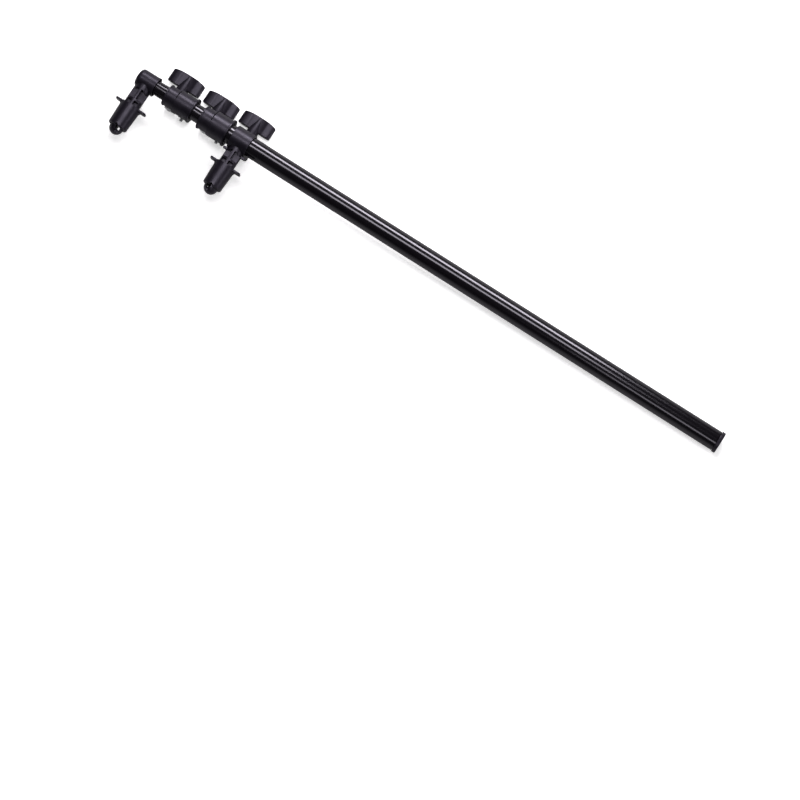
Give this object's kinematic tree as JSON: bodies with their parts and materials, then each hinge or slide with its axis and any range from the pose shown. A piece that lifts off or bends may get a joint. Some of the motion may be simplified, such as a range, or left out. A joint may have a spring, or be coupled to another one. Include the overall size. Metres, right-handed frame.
{
  "type": "reflector holder arm",
  "caption": "Telescopic arm of nested lacquered tubes with wing-knob clamp collars and spring-sleeved hook clips, at the tip and sliding on the main tube, for a reflector's rim.",
  "frame": {"origin": "centre of the outer flat face of the butt end cap, on the tubes' axis", "axes": "+X along the tubes from the butt end to the tip; +Y the way the hook clips point, with the wing knobs on the -Y side; +Z away from the clamp ears, which face down"},
  "size_m": [0.736, 0.1035, 0.0403],
  "materials": {
    "tube_lacquer": "glossy black lacquer",
    "body_plastic": "satin near-black moulded plastic",
    "zinc": "bright zinc plate",
    "spring_steel": "coppery spring wire"
  },
  "bodies": {
    "collar_2": {"collar_2": "body_plastic", "collar_2_bolt": "zinc", "collar_2_nut": "zinc", "knob_2_washer": "zinc", "knob_2_spring": "spring_steel", "knob_2_nut": "zinc"},
    "main_tube": {"main_tube": "tube_lacquer", "butt_cap": "body_plastic"},
    "slide_clip": {"slide_clip_body": "body_plastic", "slide_clip_hook": "body_plastic", "slide_clip_hook_pin": "zinc", "slide_clip_sleeve_spring": "zinc", "knob_3_washer": "zinc", "knob_3_spring": "spring_steel", "knob_3_nut": "zinc"},
    "slide_sleeve": {"slide_clip_sleeve": "body_plastic"},
    "mid_tube": {"mid_tube": "tube_lacquer", "mid_tube_bush": "body_plastic"},
    "collar_1": {"collar_1": "body_plastic", "collar_1_bolt": "zinc", "collar_1_nut": "zinc", "knob_1_washer": "zinc", "knob_1_spring": "spring_steel", "knob_1_nut": "zinc"},
    "inner_tube": {"inner_tube": "tube_lacquer", "inner_tube_bush": "body_plastic"},
    "tip_clip": {"tip_clip_body": "body_plastic", "tip_clip_hook": "body_plastic", "tip_clip_hook_pin": "zinc", "tip_clip_sleeve_spring": "zinc"},
    "tip_sleeve": {"tip_clip_sleeve": "body_plastic"},
    "knob_1": {"knob_1": "body_plastic", "knob_1_bolt": "zinc"},
    "knob_2": {"knob_2": "body_plastic", "knob_2_bolt": "zinc"},
    "knob_3": {"knob_3": "body_plastic", "knob_3_bolt": "zinc"}
  },
  "joints": [
    {"name": "slide_clip_swivel", "type": "hinge", "parent": "collar_2", "child": "main_tube", "pos_m": [0.3, 0, 0], "axis": [1, 0, 0], "continuous": true},
    {"name": "slide_clip_travel", "type": "slide", "parent": "main_tube", "child": "slide_clip", "axis": [1, 0, 0], "range_m": [-0.58, 0.002]},
    {"name": "slide_sleeve_press", "type": "slide", "parent": "slide_clip", "child": "slide_sleeve", "axis": [0, -1, 0], "range_m": [0, 0.013], "stiffness_N_per_m": 300, "springref_m": -0.01, "deforming": ["slide_clip_sleeve_spring"]},
    {"name": "mid_tube_extend", "type": "slide", "parent": "collar_2", "child": "mid_tube", "axis": [1, 0, 0], "range_m": [0, 0.51]},
    {"name": "mid_tube_turn", "type": "hinge", "parent": "mid_tube", "child": "collar_1", "pos_m": [0.675, 0, 0], "axis": [1, 0, 0], "continuous": true},
    {"name": "inner_tube_extend", "type": "slide", "parent": "collar_1", "child": "inner_tube", "axis": [1, 0, 0], "range_m": [0, 0.51]},
    {"name": "tip_clip_turn", "type": "hinge", "parent": "inner_tube", "child": "tip_clip", "pos_m": [0.7175, 0, 0], "axis": [1, 0, 0], "range_deg": [-110, 180]},
    {"name": "tip_sleeve_press", "type": "slide", "parent": "tip_clip", "child": "tip_sleeve", "axis": [0, -1, 0], "range_m": [0, 0.013], "stiffness_N_per_m": 300, "springref_m": -0.01, "deforming": ["tip_clip_sleeve_spring"]},
    {"name": "knob_1_turn", "type": "hinge", "parent": "collar_1", "child": "knob_1", "pos_m": [0.686, -0.03, -0.0175], "axis": [0, -1, 0], "range_deg": [0, 540]},
    {"name": "knob_2_turn", "type": "hinge", "parent": "collar_2", "child": "knob_2", "pos_m": [0.641, -0.03, -0.0175], "axis": [0, -1, 0], "range_deg": [0, 540]},
    {"name": "knob_3_turn", "type": "hinge", "parent": "slide_clip", "child": "knob_3", "pos_m": [0.5967, -0.03, -0.0175], "axis": [0, -1, 0], "range_deg": [0, 540]}
  ]
}
